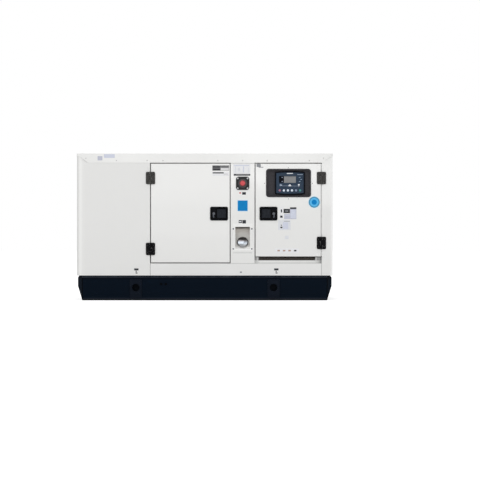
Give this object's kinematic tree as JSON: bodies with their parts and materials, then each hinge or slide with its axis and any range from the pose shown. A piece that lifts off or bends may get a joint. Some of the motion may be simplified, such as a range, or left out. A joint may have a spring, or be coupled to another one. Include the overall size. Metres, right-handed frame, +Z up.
{
  "type": "enclosed gas turbine generator set",
  "caption": "Sound-proof sheet-steel canopy on a black skid, with hinged doors, control panel, fuel filler, lifting holes and a small turbine generator inside.",
  "frame": {"origin": "middle of the skid's underside, on the ground", "axes": "+X along the set, towards the control end; +Y away from the control side, towards the rear; +Z up"},
  "size_m": [1.804, 0.9043, 1.035],
  "materials": {
    "canopy_white": "semi-gloss powder coat",
    "skid_black": "satin enamel",
    "deck_grey": "satin enamel",
    "black_zinc": "satin black",
    "rubber_black": "matte",
    "lining_foam": "matte foam",
    "panel_grey": "fine texture powder coat",
    "controller_navy": "satin film",
    "screen_grey": "glossy",
    "keys": "satin",
    "stop_red": "glossy",
    "hose_black": "matte",
    "cap_chrome": "polished",
    "guard_zinc": "galvanised",
    "drum_steel": "heat-dulled sheet",
    "generator_blue": "satin enamel",
    "intake_aluminium": "satin",
    "cabinet_grey": "satin",
    "battery_black": "satin"
  },
  "bodies": {
    "housing": {"base_front_rail": "skid_black", "base_rear_rail": "skid_black", "base_flanges": "skid_black", "base_left_end": "skid_black", "base_right_end": "skid_black", "lifting_plates": "skid_black", "fuel_tank": "skid_black", "deck": "deck_grey", "front_plain_panel": "canopy_white", "front_mullion": "canopy_white", "front_sill": "canopy_white", "front_post": "canopy_white", "front_header": "canopy_white", "cable_outlet": "canopy_white", "rear_plain_panel": "canopy_white", "rear_mullion": "canopy_white", "rear_sill": "canopy_white", "rear_post": "canopy_white", "rear_header": "canopy_white", "rear_doors": "canopy_white", "rear_hinges": "black_zinc", "rear_latches": "black_zinc", "left_end_wall": "canopy_white", "right_end_wall": "canopy_white", "outlet_guard": "guard_zinc", "inlet_louvres": "canopy_white", "roof": "canopy_white", "door_seals": "rubber_black", "wall_lining": "lining_foam", "frame_hinge_leaves": "black_zinc", "stop_plate": "black_zinc", "filler_recess": "canopy_white", "filler_neck": "hose_black", "set_cradle": "deck_grey", "isolators": "rubber_black", "recuperator_drum": "drum_steel", "fuel_manifold": "guard_zinc", "generator": "generator_blue", "air_intake": "intake_aluminium", "exhaust_duct": "drum_steel", "distribution_box": "cabinet_grey", "oil_cooler": "deck_grey", "battery": "battery_black"},
    "engine_door": {"engine_door": "canopy_white", "engine_door_lining": "lining_foam", "engine_door_hinges": "black_zinc", "engine_latch": "black_zinc"},
    "engine_paddle": {"engine_paddle": "black_zinc"},
    "control_door": {"control_door": "canopy_white", "control_door_lining": "lining_foam", "control_door_hinges": "black_zinc", "control_latch": "black_zinc", "window_trim": "rubber_black", "control_panel": "panel_grey", "controller": "controller_navy", "controller_screen": "screen_grey", "controller_keys": "keys"},
    "control_paddle": {"control_paddle": "black_zinc"},
    "stop_button": {"stop_button": "stop_red"},
    "fuel_cap": {"fuel_cap": "cap_chrome"}
  },
  "joints": [
    {"name": "engine_door_hinge", "type": "hinge", "parent": "housing", "child": "engine_door", "pos_m": [-0.3815, -0.434, 0.6], "axis": [0, 0, -1], "range_deg": [0, 110]},
    {"name": "engine_paddle_pivot", "type": "hinge", "parent": "engine_door", "child": "engine_paddle", "pos_m": [0.1445, -0.423, 0.611], "axis": [0, 0, 1], "range_deg": [0, 40], "stiffness_Nm_per_rad": 0.3},
    {"name": "control_door_hinge", "type": "hinge", "parent": "housing", "child": "control_door", "pos_m": [0.8215, -0.434, 0.6], "axis": [0, 0, 1], "range_deg": [0, 110]},
    {"name": "control_paddle_pivot", "type": "hinge", "parent": "control_door", "child": "control_paddle", "pos_m": [0.4055, -0.423, 0.611], "axis": [0, 0, -1], "range_deg": [0, 40], "stiffness_Nm_per_rad": 0.3},
    {"name": "stop_button_press", "type": "slide", "parent": "housing", "child": "stop_button", "axis": [0, 1, 0], "range_m": [0, 0.006]},
    {"name": "fuel_cap_turn", "type": "hinge", "parent": "housing", "child": "fuel_cap", "pos_m": [0.267, -0.39974, 0.407], "axis": [0, -0.9536, 0.3011], "range_deg": [0, 90]}
  ]
}
